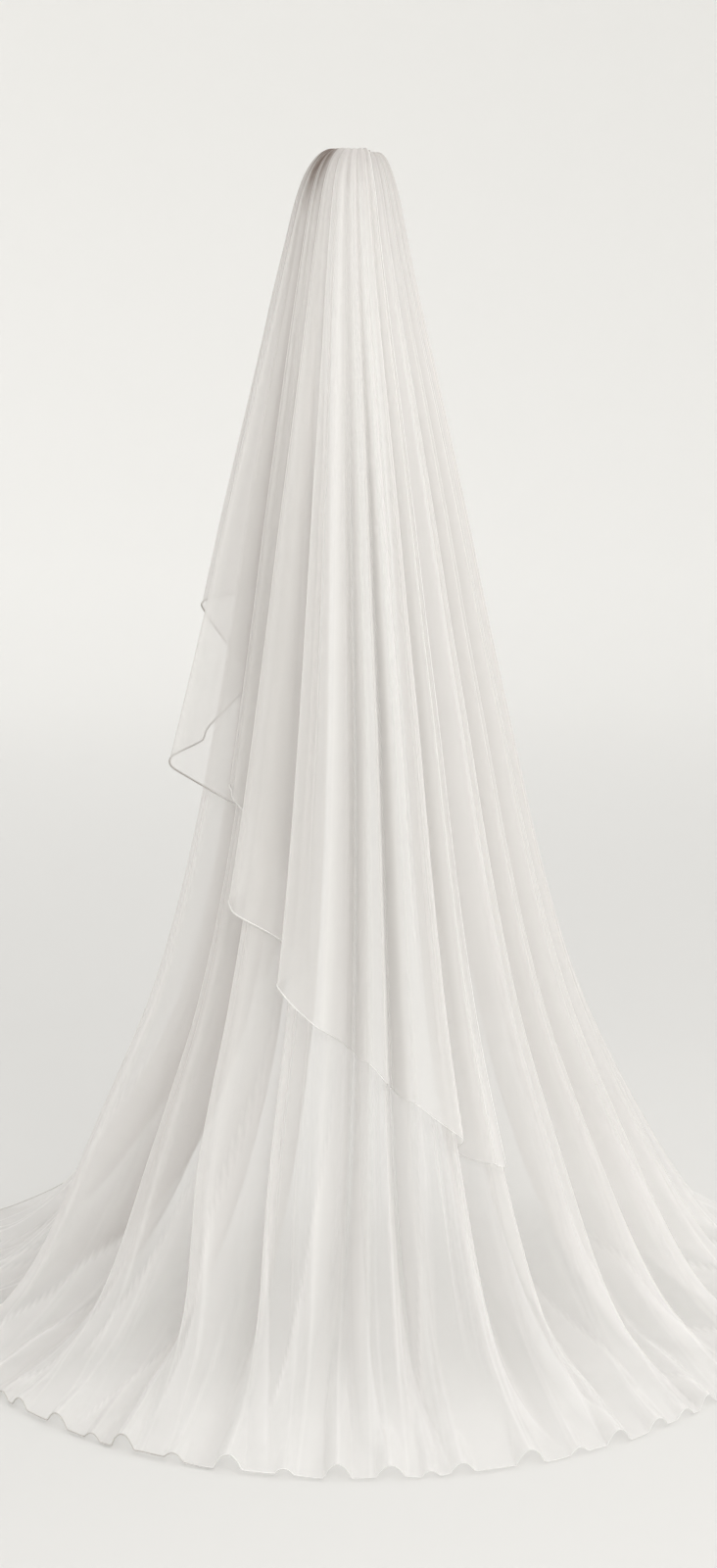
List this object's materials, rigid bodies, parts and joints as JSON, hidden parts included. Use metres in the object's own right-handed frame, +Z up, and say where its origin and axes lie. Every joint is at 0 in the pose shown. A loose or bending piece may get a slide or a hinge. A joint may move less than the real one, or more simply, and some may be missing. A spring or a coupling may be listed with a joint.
{
  "type": "two-tier bridal veil on a hair comb",
  "caption": "Floor-length bridal veil of two tulle tiers gathered at a crown comb, with a slanting upper hem and a round train",
  "frame": {"origin": "middle of the comb's spine at the crown, where the wearer's hair holds the veil", "axes": "+Z up, -Y back towards the train, +X to the right as seen from behind"},
  "size_m": [1.2896, 1.1971, 1.6751],
  "materials": {
    "tulle_long": "soft ivory silk-look tulle",
    "tulle_short": "soft ivory silk-look tulle",
    "comb_metal": "dull silver wire comb"
  },
  "bodies": {
    "root": {"long_tier": "tulle_long", "short_tier": "tulle_short", "comb": "comb_metal"}
  },
  "joints": []
}
